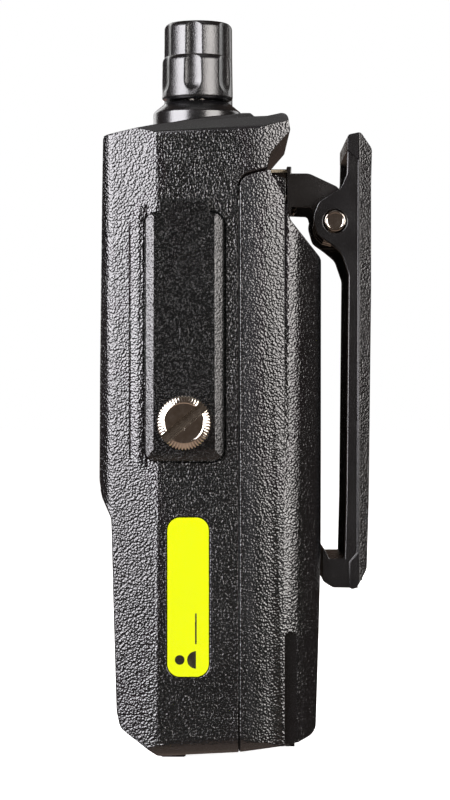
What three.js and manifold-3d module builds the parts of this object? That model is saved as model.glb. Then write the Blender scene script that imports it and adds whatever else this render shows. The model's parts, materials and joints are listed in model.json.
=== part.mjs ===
// A rugged portable two-way radio with a clip-on battery and a sprung belt clip.
// Millimetres. The front face looks along -Y, the battery and clip are at +Y, +Z is up,
// and the jack cover is on the +X side. The origin is at the middle of the bottom of the whole box.
import * as THREE from 'three';
import { mergeVertices } from 'three/addons/utils/BufferGeometryUtils.js';
import Module from 'manifold-3d';

const wasm = await Module();
wasm.setup();

// ---- Driving dimensions ----
const CASE_W = 58;          // width of the case and battery
const CASE_H = 137;         // foot to the top surface beside the knobs
const RADIO_D = 30.2;       // front face to the parting line
const PACK_D = 18.1;        // parting line to the back of the battery
const WALL = 2;             // moulded walls
const GAP = 0.3;            // between pieces that lie against each other
const FIT = 0.4;            // round a button or cover in its opening

const LOWER_STEP = 2.75;    // how far the lower front stands behind the upper front
const STEP_Z = 53;          // height of that step
const TOP_SLOPE = 5.2 * Math.PI / 180;
const EDGE_CHAMFER = 2.2;   // along the top edges
const CREASE_Y = 12.7;      // where the flat sides turn in towards the front
const CREASE_IN = 2.6;      // how far they have drawn in when they reach the front corners
const CORNER_Y = 2.2;
const FLANK_IN = 1.6;       // how far the battery's flanks have drawn in near its back
const SHOULDER_D = 8;       // how far the battery's shoulder stands behind its back face

const COLLAR_R = 9.7;       // raised collar under each knob
const COLLAR_TOP_R = 6.9;
const COLLAR_H = 6.1;       // above the top surface
const COLLAR_CONE_H = 2.3;
const KNOB_Y = 21.2;
const KNOB_R = 7.8;
const VOLUME_X = 15;
const CHANNEL_X = -3.6;
const ANTENNA_X = -19.8;
const VOLUME_H = 9.9;
const CHANNEL_H = 19.8;
const SHAFT_R = 3;
const FLUTES = 6;
const FLUTE_HALF_W = 1.95;
const FLUTE_R = 4.45;
const FLUTE_FOOT = 2.1;     // plain skirt under the flutes
const KNOB_TURN = -7 * Math.PI / 180;

const COVER_Y = 18.55;      // jack cover, across
const COVER_W = 16.9;
const COVER_L = 53.2;
const COVER_TOP = 19.15;    // below the top surface
const COVER_T = 3.2;
const BAY_D = 1;            // recess that the cover lies in
const STRAP_W = 10.6;
const STRAP_L = 3;
const STRAP_T = 1.2;
const SCREW_UP = 8.2;       // cover's lower end to the screw's middle
const SCREW_R = 5.85;
const SCREW_DISC_R = 4.35;
const SCREW_T = 2.9;
const SHANK_R = 1.5;

const LABEL_Y = 19.35;
const LABEL_W = 8.9;
const LABEL_L = 34.2;
const LABEL_Z = 35.3;
const LABEL_T = 0.25;
const LABEL_CORNER = 2.8;

const PTT_W = 11;
const PTT_L = 34;
const PTT_Z = 94;
const PTT_Y = 16;
const SIDE_KEY_L = 8;
const PRESS = 1;            // travel of the push-to-talk button and side buttons
const KEY_PRESS = 0.8;

const CLIP_W = 38;
const CLIP_UP = 19.5;       // pin to the clip's top end
const CLIP_DOWN = 80.7;     // pin to its lower end
const FLANGE_T = 3;
const PIN_R = 2.3;
const PIN_UP = 20.1;        // pin below the case's top surface
const PIN_OUT = 3.1;        // pin behind the battery's back
const EAR_T = 1;            // steel of the bracket

// ---- Places worked out from them ----
const HALF_W = CASE_W / 2;
const BACK = RADIO_D + PACK_D;
const FLANK_Y = RADIO_D + 4.5;               // where the battery's flanks begin to draw in
const PACK_Y = RADIO_D + GAP;
const COLLAR_Z = CASE_H + COLLAR_H;
const COVER_Z = CASE_H - COVER_TOP;          // cover's upper end
const SCREW_Z = COVER_Z - COVER_L + SCREW_UP;
const BAY_X = HALF_W - BAY_D;
const COVER_X = BAY_X + GAP;
const PIN_Y = BACK + PIN_OUT;
const PIN_Z = CASE_H - PIN_UP;
const BRACKET_HALF = CLIP_W / 2 - FLANGE_T - FIT;
const PART_TOP = CASE_H - 11;                // where the parting line turns under the horn
const CAVITY_TOP = CASE_H - WALL - 1;

// ---- Shapes and solids ----
// Large rounds take smaller steps than small ones.
function arcStep(radius) {
  if (radius < 1) return Math.PI / 5;
  return radius < 3 ? Math.PI / 8 : Math.PI / 16;
}

// A closed outline from corners [a, b, radius]; the radius rounds that corner.
function outline(corners) {
  const points = [];
  corners.forEach(([a, b, radius = 0], i) => {
    const corner = new THREE.Vector2(a, b);
    if (radius === 0) {
      points.push(corner);
      return;
    }
    const before = corners[(i + corners.length - 1) % corners.length];
    const after = corners[(i + 1) % corners.length];
    const toBefore = new THREE.Vector2(before[0] - a, before[1] - b).normalize();
    const toAfter = new THREE.Vector2(after[0] - a, after[1] - b).normalize();
    const half = Math.acos(THREE.MathUtils.clamp(toBefore.dot(toAfter), -1, 1)) / 2;
    const middle = toBefore.clone().add(toAfter).normalize();
    const centre = corner.clone().addScaledVector(middle, radius / Math.sin(half));
    const start = corner.clone().addScaledVector(toBefore, radius / Math.tan(half)).sub(centre);
    const sweep = Math.PI - 2 * half;
    const turn = Math.sign(toBefore.cross(toAfter)) || 1;
    const steps = Math.max(1, Math.ceil(sweep / arcStep(radius)));
    for (let k = 0; k <= steps; k += 1) {
      const angle = -turn * sweep * k / steps;
      points.push(start.clone().rotateAround(new THREE.Vector2(), angle).add(centre));
    }
  });
  return new THREE.Shape(points);
}

function box(a0, a1, b0, b1, radius = 0) {
  return outline([[a0, b0, radius], [a1, b0, radius], [a1, b1, radius], [a0, b1, radius]]);
}

function disc(a, b, radius, sides = 32) {
  const points = [];
  for (let k = 0; k < sides; k += 1) {
    const angle = 2 * Math.PI * k / sides;
    points.push(new THREE.Vector2(a + radius * Math.cos(angle), b + radius * Math.sin(angle)));
  }
  return new THREE.Shape(points);
}

function solidOf(geometry) {
  const bare = geometry.clone();
  bare.deleteAttribute('normal');
  bare.deleteAttribute('uv');
  const merged = mergeVertices(bare, 1e-4);
  const index = merged.index.array;
  const triVerts = [];
  for (let i = 0; i < index.length; i += 3) {
    const [a, b, c] = [index[i], index[i + 1], index[i + 2]];
    if (a !== b && b !== c && a !== c) triVerts.push(a, b, c);
  }
  const mesh = new wasm.Mesh({
    numProp: 3,
    vertProperties: new Float32Array(merged.attributes.position.array),
    triVerts: new Uint32Array(triVerts),
  });
  return new wasm.Manifold(mesh);
}

function geometryOf(solid) {
  const mesh = solid.getMesh();
  const geometry = new THREE.BufferGeometry();
  geometry.setAttribute('position', new THREE.BufferAttribute(mesh.vertProperties, 3));
  geometry.setIndex(new THREE.BufferAttribute(mesh.triVerts, 1));
  geometry.computeVertexNormals();
  return geometry;
}

function extruded(shape, depth) {
  return new THREE.ExtrudeGeometry(shape, { depth, bevelEnabled: false, curveSegments: 12 });
}

// A shape drawn in (Y, Z), from x0 to x1.
function alongX(shape, x0, x1) {
  const turn = new THREE.Matrix4().makeBasis(
    new THREE.Vector3(0, 1, 0), new THREE.Vector3(0, 0, 1), new THREE.Vector3(1, 0, 0));
  return solidOf(extruded(shape, x1 - x0).applyMatrix4(turn).translate(x0, 0, 0));
}

// A shape drawn in (X, Z), from y0 to y1.
function alongY(shape, y0, y1) {
  return solidOf(extruded(shape, y1 - y0).rotateX(Math.PI / 2).translate(0, y1, 0));
}

// A shape drawn in (X, Y), from z0 to z1.
function alongZ(shape, z0, z1) {
  return solidOf(extruded(shape, z1 - z0).translate(0, 0, z0));
}

// A profile of [radius, height] turned round the Z axis.
function turned(profile, sides = 32) {
  const points = profile.map(([r, h]) => new THREE.Vector2(r, h));
  return solidOf(new THREE.LatheGeometry(points, sides).rotateX(Math.PI / 2));
}

// The same, turned round the Y axis, or round the X axis, with the heights along it.
function turnedY(profile, sides = 32) {
  const points = profile.map(([r, h]) => new THREE.Vector2(r, h));
  return solidOf(new THREE.LatheGeometry(points, sides));
}

function turnedX(profile, sides = 32) {
  const points = profile.map(([r, h]) => new THREE.Vector2(r, h));
  return solidOf(new THREE.LatheGeometry(points, sides).rotateZ(-Math.PI / 2));
}

function rod(radius, h0, h1) {
  return [[0, h0], [radius, h0], [radius, h1], [0, h1]];
}

function ring(inner, outer, h0, h1) {
  return [[inner, h0], [outer, h0], [outer, h1], [inner, h1], [inner, h0]];
}

function bent(path, radius, steps, sides = 8) {
  return solidOf(new THREE.ExtrudeGeometry(disc(0, 0, radius, sides), {
    steps, extrudePath: path, bevelEnabled: false,
  }));
}

class Helix extends THREE.Curve {
  constructor(radius, pitch, turns, axisOf) {
    super();
    Object.assign(this, { radius, pitch, turns, axisOf });
  }

  getPoint(t, target = new THREE.Vector3()) {
    const angle = 2 * Math.PI * this.turns * t;
    const along = this.pitch * this.turns * (t - 0.5);
    return this.axisOf(target, this.radius * Math.cos(angle), this.radius * Math.sin(angle), along);
  }
}

// ---- Finishes ----
const FINISHES = {
  shell: [0x1b1c1d, 0.55, 0],
  satin: [0x191a1b, 0.42, 0],
  soft: [0x141414, 0.75, 0],
  nickel: [0xb9b4aa, 0.25, 1],
  steel: [0x9b9a97, 0.35, 1],
  blackSteel: [0x0d0d0d, 0.4, 1],
  brass: [0xb08d4a, 0.35, 1],
  casting: [0x8f9294, 0.5, 1],
  label: [0xe4f410, 0.45, 0],
  board: [0x1f4d2e, 0.5, 0],
  glass: [0x10161a, 0.1, 0],
  orange: [0xe0571a, 0.5, 0],
  cell: [0x2c4d74, 0.5, 0],
};

const radio = new THREE.Group();
const pack = new THREE.Group();
const clip = new THREE.Group();

function add(group, name, solid, finish, place = [0, 0, 0]) {
  const [color, roughness, metalness] = FINISHES[finish];
  const material = new THREE.MeshStandardMaterial({ color, roughness, metalness });
  const mesh = new THREE.Mesh(geometryOf(solid), material);
  mesh.name = name;
  mesh.position.set(...place);
  group.add(mesh);
}

// ---- Front case ----
const FRONT_TOP = [0.85, CASE_H - 2.1];
const CREST_Y = 11.6;
const HORN_RUN = 9.5;       // the horn's flanks, from where they begin to draw in
const COLLARS = [VOLUME_X, CHANNEL_X];

// The side view of the case, (Y, Z), with the horn that hangs over the battery.
function caseSide() {
  return outline([
    [...FRONT_TOP, 1.2],
    [0.55, CASE_H - 19],
    [0, STEP_Z + 18],
    [0, STEP_Z + 7.5, 3],
    [0.6, STEP_Z + 3.6, 3],
    [LOWER_STEP - 0.1, STEP_Z - 0.8, 1.5],
    [LOWER_STEP, STEP_Z - 2.5],
    [LOWER_STEP + 0.6, 26],
    [LOWER_STEP + 1.1, 10.5, 3],
    [LOWER_STEP + 1.9, 6.9, 3],
    [12.8, 0.8, 1],
    [RADIO_D, 1.65],
    [RADIO_D, PART_TOP, 3],
    [RADIO_D + 6.25, PART_TOP + 1.6],
    [RADIO_D + 6.9, PART_TOP + 5, 3],
    [RADIO_D + 11.2, PART_TOP + 9.9, 0.5],
    [RADIO_D + 10.5, PART_TOP + 14.1, 1.4],
    [RADIO_D + 6.2, PART_TOP + 13.1],
    [RADIO_D + 3.4, PART_TOP + 13, 0.4],
    [RADIO_D + 2.6, PART_TOP + 13.8, 0.4],
    [RADIO_D + 0.8, PART_TOP + 13.8],
    [CREST_Y, CASE_H + 0.1],
  ]);
}

// The hollow inside it, open at the back below the horn.
function caseHollow() {
  return outline([
    [0.6 + WALL, CAVITY_TOP - 1.5],
    [WALL, STEP_Z + 7.5],
    [LOWER_STEP + WALL, STEP_Z - 2],
    [LOWER_STEP + WALL + 1.2, 8.5],
    [12.8, 1 + WALL],
    [RADIO_D + WALL, 1.7 + WALL],
    [RADIO_D + WALL, PART_TOP - 4],
    [RADIO_D - WALL, PART_TOP - 4],
    [RADIO_D - WALL, CAVITY_TOP + 0.6],
    [CREST_Y, CAVITY_TOP + 0.6],
  ]);
}

// The view from above, (X, Y): flat sides that draw in towards a narrower front, and behind
// the parting line draw in with the battery's flanks.
function casePlan(inset) {
  const half = HALF_W - inset;
  const tail = half - FLANK_IN * HORN_RUN / (BACK - 6 - FLANK_Y);
  const corner = half - CREASE_IN + inset / 4;
  const front = corner - CREASE_IN;
  return outline([
    [tail, FLANK_Y + HORN_RUN],
    [half, FLANK_Y, 20],
    [half, CREASE_Y, 3],
    [corner, CORNER_Y + inset, 3],
    [front, inset, 2.5],
    [-front, inset, 2.5],
    [-corner, CORNER_Y + inset, 3],
    [-half, CREASE_Y, 3],
    [-half, FLANK_Y, 20],
    [-tail, FLANK_Y + HORN_RUN],
  ]);
}

// The slanted corner beside the jack cover steps up to a narrow flat land. Its plan is (X, Y).
const LAND = { front: 6.5, foot: 7, crest: 8.4, back: 10.6, footX: HALF_W - 1.54, crestX: HALF_W - 0.8 };

function landRegion() {
  const low = COVER_Z - COVER_L - 1.5;
  return alongX(outline([
    [LAND.front, low, 3], [LAND.back, low], [LAND.back, COVER_Z + 2], [LAND.front + 3, COVER_Z + 2, 1],
    [LAND.front, COVER_Z - 2, 2],
  ]), LAND.footX - 2, HALF_W + 1);
}

function landSection() {
  return alongZ(outline([
    [LAND.footX - 2, LAND.front], [LAND.footX, LAND.front], [LAND.footX, LAND.foot],
    [LAND.crestX, LAND.crest], [LAND.crestX, LAND.back], [LAND.footX - 2, LAND.back],
  ]), 0, CASE_H);
}

// Chamfered top edges and rounded bottom edges that follow the slope of the top and bottom.
function endTrim() {
  const top = CASE_H + 1;
  const shape = outline([
    [-HALF_W, 1, 4], [HALF_W, 1, 4],
    [HALF_W, top - EDGE_CHAMFER, 1.5], [HALF_W - EDGE_CHAMFER - 6, top + 6],
    [EDGE_CHAMFER + 6 - HALF_W, top + 6], [-HALF_W, top - EDGE_CHAMFER, 1.5],
  ]);
  const reach = 40;
  return solidOf(extruded(shape, 2 * reach).rotateX(Math.PI / 2).translate(0, reach, 0)
    .translate(0, 0, -CASE_H).rotateX(TOP_SLOPE / 2).translate(0, KNOB_Y, CASE_H));
}

function collar(x) {
  return turned([
    [0, CASE_H - 6], [COLLAR_R, CASE_H - 6], [COLLAR_R, COLLAR_Z - COLLAR_CONE_H],
    [COLLAR_TOP_R, COLLAR_Z], [0, COLLAR_Z],
  ], 48).translate(x, KNOB_Y, 0);
}

const ANTENNA_COLLAR_R = 6.4;
const SOCKET_R = 4.2;
const EMERGENCY = { x: -18.5, y: 7.4, r: 3.4 };
const STATUS = { x: 6, y: 6.5, r: 2 };
const KEY_Z = STEP_Z + 11;
const KEY_XS = [-15, -5, 5, 15];
const KEY_W = 8;
const KEY_H = 4;
const GRILLE = { z: CASE_H - 29, half: 15, slots: 7, pitch: 3.6, height: 1.6 };
const WINDOW = { z: STEP_Z + 27, w: 42, h: 20, t: 1.1 };
const LATCH = { half: 8, z0: 2.2, z1: 4.8, y0: 22.6, y1: 27.6, travel: 2.4, bore: 0.9, spring: 3.7 };
const JACKS = [['microphone_jack', COVER_Z - 28.5, 1.3], ['speaker_jack', COVER_Z - 12.5, 1.8]];
const JACK_R = 2.9;

function sideKeys() {
  return [
    ['ptt_button', PTT_Z, PTT_L, PTT_W, 1.9],
    ['side_button_upper', PTT_Z + PTT_L / 2 + 8.5, SIDE_KEY_L, PTT_W - 1, 0.9],
    ['side_button_lower', PTT_Z - PTT_L / 2 - 8.5, SIDE_KEY_L, PTT_W - 1, 0.9],
  ];
}

function frontOpenings() {
  const cuts = [];
  for (let i = 0; i < GRILLE.slots; i += 1) {
    const z = GRILLE.z + (i - (GRILLE.slots - 1) / 2) * GRILLE.pitch;
    const h = GRILLE.height / 2;
    cuts.push(alongY(box(-GRILLE.half, GRILLE.half, z - h, z + h, h * 0.98), -2, WALL + 2));
  }
  const w = WINDOW.w / 2 + GAP;
  const h = WINDOW.h / 2 + GAP;
  cuts.push(alongY(box(-w, w, WINDOW.z - h, WINDOW.z + h, 2), -2, WINDOW.t + GAP + 0.2));
  cuts.push(alongY(box(2 - w, w - 2, WINDOW.z - h + 2, WINDOW.z + h - 2, 1), -2, WALL + 2));
  for (const x of KEY_XS) {
    const half = KEY_W / 2 + FIT;
    const up = KEY_H / 2 + FIT;
    cuts.push(alongY(box(x - half, x + half, KEY_Z - up, KEY_Z + up, 1.6), -2, WALL + 2));
  }
  cuts.push(alongY(box(-3, 3, 41.4, 42.6, 0.55), -2, LOWER_STEP + WALL + 2));
  return cuts;
}

function sideOpenings() {
  const bay = box(COVER_Y - COVER_W / 2 - FIT, COVER_Y + COVER_W / 2 + FIT,
    COVER_Z - COVER_L - FIT, COVER_Z + FIT, 2.4 + FIT);
  const label = box(LABEL_Y - LABEL_W / 2 - FIT / 2, LABEL_Y + LABEL_W / 2 + FIT / 2,
    LABEL_Z - LABEL_L / 2 - FIT / 2, LABEL_Z + LABEL_L / 2 + FIT / 2, LABEL_CORNER);
  const cuts = [
    alongX(bay, BAY_X, HALF_W + 2),
    alongX(label, HALF_W - LABEL_T - GAP, HALF_W + 2),
    alongX(disc(COVER_Y, SCREW_Z, 3), HALF_W - WALL - 8, HALF_W),
  ];
  for (const [, z] of JACKS) cuts.push(alongX(disc(COVER_Y, z, JACK_R + GAP), HALF_W - WALL - 2, HALF_W));
  for (const [, z, length, width] of sideKeys()) {
    const a = width / 2 + FIT;
    const b = length / 2 + FIT;
    cuts.push(alongX(box(PTT_Y - a, PTT_Y + a, z - b, z + b, 3), -HALF_W - 2, 3 - HALF_W + WALL));
  }
  return cuts;
}

function topOpenings() {
  const cuts = COLLARS.map((x) => alongZ(disc(x, KNOB_Y, SHAFT_R + 1 + GAP), CASE_H - 8, COLLAR_Z + 2));
  cuts.push(alongZ(disc(ANTENNA_X, KNOB_Y, SOCKET_R + GAP), CASE_H - 8, COLLAR_Z + 2));
  cuts.push(alongZ(disc(EMERGENCY.x, EMERGENCY.y, EMERGENCY.r + FIT), CASE_H - 8, CASE_H + 4));
  cuts.push(alongZ(disc(STATUS.x, STATUS.y, STATUS.r + GAP), CASE_H - 8, CASE_H + 4));
  return cuts;
}

// The pocket for the battery latch, in a block on the floor of the case.
function latchPocket() {
  const { half, z0, z1, y0, y1, travel } = LATCH;
  return [
    alongX(box(y0 - travel - GAP, y1 + GAP, z0 - GAP, z1 + GAP), -half - FIT, half + FIT),
    alongX(box(y0 - travel - GAP, y1 + GAP, -1, z0), -half + 1 - FIT, half - 1 + FIT),
    alongX(box(y1, RADIO_D + 1, z0 + 0.4 - GAP, z1 - 0.4 + GAP), -4 - FIT, 4 + FIT),
  ];
}

function frontCase() {
  let shell = alongX(caseSide(), -HALF_W, HALF_W)
    .intersect(alongZ(casePlan(0), -1, CASE_H + 6));
  shell = shell.intersect(endTrim());
  const land = landRegion();
  const section = landSection();
  shell = shell.add(land.intersect(section)).subtract(land.subtract(section));
  for (const x of COLLARS) shell = shell.add(collar(x));
  const antennaCollar = turned(rod(ANTENNA_COLLAR_R, CASE_H - 6, CASE_H + 3.4));
  shell = shell.add(antennaCollar.translate(ANTENNA_X, KNOB_Y, 0));
  shell = shell.add(alongX(box(13.2, 18.8, 0, 4, 0.5), -22, 22));
  const hollow = alongX(caseHollow(), WALL - HALF_W, HALF_W - WALL)
    .intersect(alongZ(casePlan(WALL), -1, CASE_H));
  shell = shell.subtract(hollow);
  shell = shell.add(alongX(box(17, RADIO_D, 1.5, 6.7), -LATCH.half - 2.4, LATCH.half + 2.4));
  shell = shell.add(turnedX(rod(4.2, HALF_W - WALL - 5, HALF_W - WALL)).translate(0, COVER_Y, SCREW_Z));
  for (const cut of [...frontOpenings(), ...sideOpenings(), ...topOpenings(), ...latchPocket()]) {
    shell = shell.subtract(cut);
  }
  return shell;
}

// ---- Knobs: a fluted body with a plain skirt, bored for its shaft ----
function knob(height) {
  let body = turned([
    [0, 0], [KNOB_R - 1.6, 0], [KNOB_R, 0.5], [KNOB_R, FLUTE_FOOT - 0.6], [KNOB_R - 0.12, height - 1.4],
    [KNOB_R - 0.6, height - 0.45], [KNOB_R - 1.6, height], [0, height],
  ], 60);
  const knobChord = Math.sqrt(KNOB_R ** 2 - FLUTE_HALF_W ** 2);
  const reach = knobChord + Math.sqrt(FLUTE_R ** 2 - FLUTE_HALF_W ** 2);
  const cutter = new THREE.CapsuleGeometry(FLUTE_R, 2 * height, 4, 24).rotateX(Math.PI / 2)
    .translate(0, 0, height + FLUTE_R + FLUTE_FOOT - 2.4);
  for (let i = 0; i < FLUTES; i += 1) {
    const angle = KNOB_TURN + 2 * Math.PI * i / FLUTES;
    body = body.subtract(solidOf(cutter).translate(reach * Math.cos(angle), reach * Math.sin(angle), 0));
  }
  return body.subtract(turned(rod(SHAFT_R + GAP, -1, height - 2.4), 24));
}

function addControl(name, part, x, height) {
  const base = COLLAR_Z + GAP;
  add(radio, `${name}_knob`, knob(height), 'satin', [x, KNOB_Y, base]);
  const shaft = turned(rod(SHAFT_R, CASE_H - 7, base + height - 3), 24);
  add(radio, `${name}_shaft`, shaft, 'steel', [x, KNOB_Y, 0]);
  const body = alongZ(box(-5.5, 5.5, -5.5, 5.5, 1), CAVITY_TOP - 9, CAVITY_TOP - 0.6)
    .add(turned(rod(SHAFT_R + 1, CAVITY_TOP - 1, COLLAR_Z - 1), 24))
    .subtract(turned(rod(SHAFT_R + GAP, CAVITY_TOP - 6, COLLAR_Z), 24));
  add(radio, part, body, 'casting', [x, KNOB_Y, 0]);
}

// ---- Top fittings ----
function addTopFittings() {
  const socket = turned([
    [0, CASE_H - 9], [6, CASE_H - 9], [6, CAVITY_TOP - 0.5], [SOCKET_R, CAVITY_TOP - 0.5],
    [SOCKET_R, CASE_H + 4.4], [0, CASE_H + 4.4],
  ]).subtract(turned(rod(2.6, CASE_H - 2, CASE_H + 6), 24));
  add(radio, 'antenna_socket', socket, 'brass', [ANTENNA_X, KNOB_Y, 0]);
  const nut = turned(ring(SOCKET_R + GAP, ANTENNA_COLLAR_R - 0.4, CASE_H + 3.7, CASE_H + 4.6));
  add(radio, 'socket_ring', nut, 'nickel', [ANTENNA_X, KNOB_Y, 0]);
  const press = turned([
    [0, CASE_H - 7.5], [EMERGENCY.r + 0.8, CASE_H - 7.5], [EMERGENCY.r + 0.8, CASE_H - 6],
    [EMERGENCY.r, CASE_H - 6], [EMERGENCY.r, CASE_H - 0.2], [EMERGENCY.r - 0.6, CASE_H + 0.6],
    [0, CASE_H + 0.8],
  ]);
  add(radio, 'emergency_button', press, 'orange', [EMERGENCY.x, EMERGENCY.y, 0]);
  const light = turned([
    [0, CASE_H - 6], [STATUS.r, CASE_H - 6], [STATUS.r, CASE_H - 0.6], [STATUS.r - 0.7, CASE_H],
    [0, CASE_H + 0.2],
  ], 24);
  add(radio, 'status_light', light, 'glass', [STATUS.x, STATUS.y, 0]);
}

// ---- Jack side ----
const STRAP_X = HALF_W + GAP;
const COVER_HINGE_Z = COVER_Z + STRAP_L - STRAP_T / 2;
const COVER_PLACE = [STRAP_X + STRAP_T / 2, COVER_Y, COVER_HINGE_Z];
const SHANK_HOLE_R = SHANK_R + 0.7;

// Drawn about its hinge, which lies in the end of the strap.
function jackCover() {
  const inner = COVER_X - COVER_PLACE[0];
  const top = COVER_Z - COVER_PLACE[2];
  const half = COVER_W / 2;
  const plate = alongX(box(-half, half, top - COVER_L, top, 2.4), inner, inner + COVER_T);
  const bevel = alongY(outline([
    [inner, top + 1], [inner + COVER_T - 0.9, top + 1], [inner + COVER_T, top - 0.9],
    [inner + COVER_T, top - COVER_L + 2.6], [inner + COVER_T - 1.2, top - COVER_L - 0.2],
    [inner, top - COVER_L - 0.2],
  ]), -half, half);
  const sides = alongZ(outline([
    [inner, -half], [inner + COVER_T - 1.1, -half, 0.6], [inner + COVER_T, 1.9 - half, 0.4],
    [inner + COVER_T, half - 1.9, 0.4], [inner + COVER_T - 1.1, half, 0.6], [inner, half],
  ]), top - COVER_L - 1, top + 1);
  const strap = alongY(outline([
    [-STRAP_T / 2, top - 2.6], [STRAP_T / 2, top - 2.6],
    [STRAP_T / 2, STRAP_T / 2, STRAP_T / 2 - 0.01], [-STRAP_T / 2, STRAP_T / 2, STRAP_T / 2 - 0.01],
  ]), -STRAP_W / 2, STRAP_W / 2);
  return plate.intersect(bevel).intersect(sides).add(strap)
    .subtract(turnedX(rod(SHANK_HOLE_R, inner - 1, inner + COVER_T + 1), 24)
      .translate(0, 0, SCREW_Z - COVER_HINGE_Z));
}

// A knurled head with a conical rim, a sunk disc and a slot, and its shank.
function coverScrew() {
  const serrations = 48;
  const points = [];
  for (let k = 0; k < 2 * serrations; k += 1) {
    const radius = SCREW_R - (k % 2) * 0.3;
    const angle = Math.PI * k / serrations;
    points.push(new THREE.Vector2(radius * Math.cos(angle), radius * Math.sin(angle)));
  }
  const head = alongX(new THREE.Shape(points), 0, SCREW_T).intersect(turnedX([
    [0, -1], [SCREW_R + 1, -1], [SCREW_R + 1, SCREW_T - 1.6], [SCREW_DISC_R, SCREW_T], [0, SCREW_T],
  ], 48));
  const slot = alongX(outline([[-1.1, -9], [1.1, -9], [1.1, 9], [-1.1, 9]]), SCREW_T - 1.3, SCREW_T + 1)
    .rotate([-50, 0, 0]);
  return head
    .subtract(turnedX(rod(SCREW_DISC_R - 0.25, SCREW_T - 0.35, SCREW_T + 1), 40))
    .subtract(slot)
    .add(turnedX(rod(SHANK_R, -COVER_T - 3, 0.5), 24));
}

function addJackSide() {
  add(radio, 'jack_cover', jackCover(), 'soft', COVER_PLACE);
  const seat = COVER_X + COVER_T + GAP;
  add(radio, 'cover_screw', coverScrew(), 'nickel', [seat, COVER_Y, SCREW_Z]);
  const insert = turnedX(ring(SHANK_HOLE_R, 3 - GAP, HALF_W - WALL - 5, BAY_X - GAP), 32);
  add(radio, 'threaded_insert', insert, 'brass', [0, COVER_Y, SCREW_Z]);
  for (const [name, z, bore] of JACKS) {
    const jack = turnedX([
      [0, 14], [4.1, 14], [4.1, HALF_W - WALL - GAP], [JACK_R, HALF_W - WALL - GAP],
      [JACK_R, BAY_X - GAP], [0, BAY_X - GAP],
    ], 32).subtract(turnedX(rod(bore, 17, BAY_X + 1), 24));
    add(radio, name, jack, 'nickel', [0, COVER_Y, z]);
  }
  const label = box(-LABEL_W / 2, LABEL_W / 2, -LABEL_L / 2, LABEL_L / 2, LABEL_CORNER - FIT / 2);
  const labelPlace = [HALF_W - LABEL_T - GAP / 2, LABEL_Y, LABEL_Z];
  add(radio, 'owner_label', alongX(label, 0, LABEL_T), 'label', labelPlace);
}

// ---- Buttons: a cap in its opening and a wider flange behind the wall ----
function addButtons() {
  for (const [name, z, length, width, proud] of sideKeys()) {
    const a = width / 2;
    const b = length / 2;
    const flangeX = WALL + 1.2;
    const cap = alongX(box(-a, a, -b, b, 2.8), -proud, flangeX)
      .intersect(alongY(box(-proud, 20, -b, b, Math.min(1.6, proud)), -a, a))
      .add(alongX(box(-a - 1.2, a + 1.2, -b - 1.2, b + 1.2, 3), flangeX - 0.2, flangeX + 1));
    add(radio, name, cap, 'soft', [-HALF_W, PTT_Y, z]);
  }
  KEY_XS.forEach((x, i) => {
    const a = KEY_W / 2;
    const b = KEY_H / 2;
    const cap = alongY(box(-a, a, -b, b, 1.4), 0.1, WALL + 0.9)
      .add(alongY(box(-a - 0.6, a + 0.6, -b - 0.9, b + 0.9, 1.4), WALL + 0.6, WALL + 1.4));
    add(radio, `function_key_${i + 1}`, cap, 'soft', [x, 0, KEY_Z]);
  });
  const mat = alongY(box(-22, 22, -4.2, 4.2, 1), WALL + 1.4 + KEY_PRESS + GAP, WALL + 3.7);
  add(radio, 'key_mat', mat, 'soft', [0, 0, KEY_Z]);
}

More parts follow.
